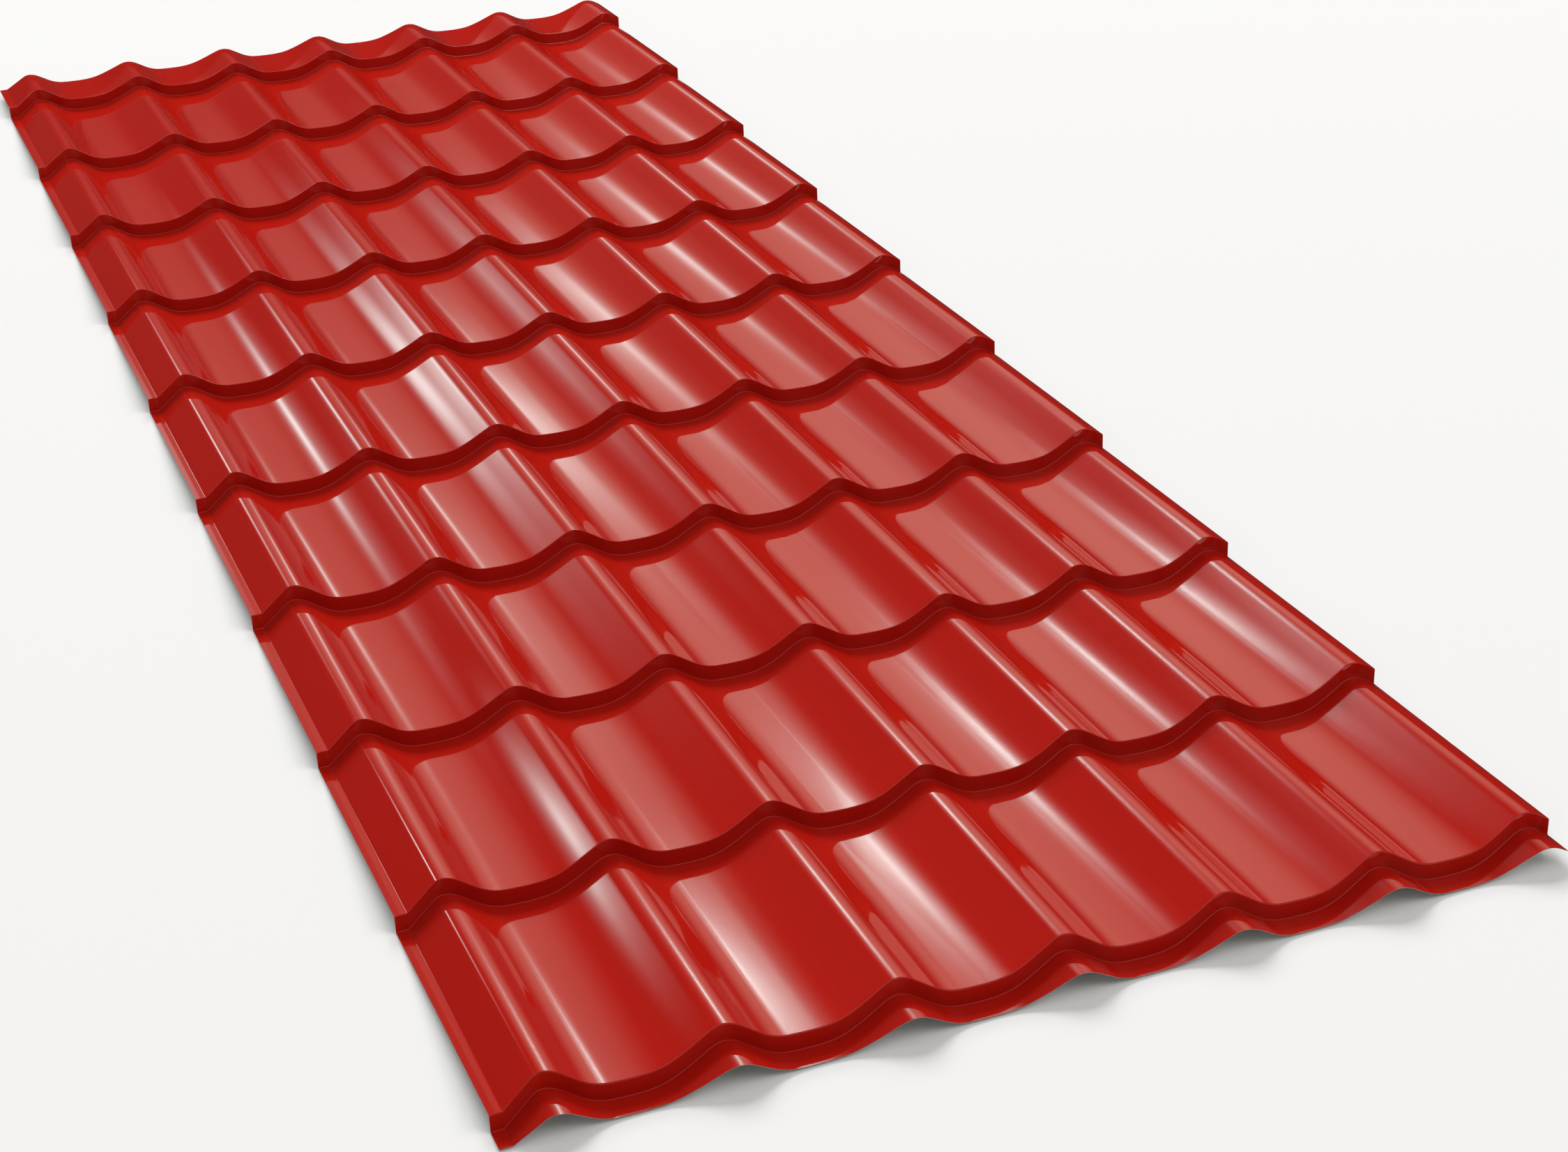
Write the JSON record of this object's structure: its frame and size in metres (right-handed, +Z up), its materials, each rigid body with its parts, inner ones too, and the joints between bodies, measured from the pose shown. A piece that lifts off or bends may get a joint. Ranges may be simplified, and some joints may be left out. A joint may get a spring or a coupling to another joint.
{
  "type": "roof tile sheet",
  "caption": "Pressed steel roofing sheet in the shape of tile rows: skew waves across it, stepped risers down it, glossy red paint.",
  "frame": {"origin": "under the middle of the sheet, on the level plane that its lowest folds rest on", "axes": "+Y up the roof slope, from the eave end to the ridge end; +X across the waves, from the long edge with the flat lip to the long edge that is cut on a steep flank; +Z up, out of the painted face"},
  "size_m": [1.1843, 3.313, 0.0426],
  "materials": {
    "red_paint": "glossy red polyester paint on galvanised steel"
  },
  "bodies": {
    "root": {"roof_tile_sheet": "red_paint"}
  },
  "joints": []
}
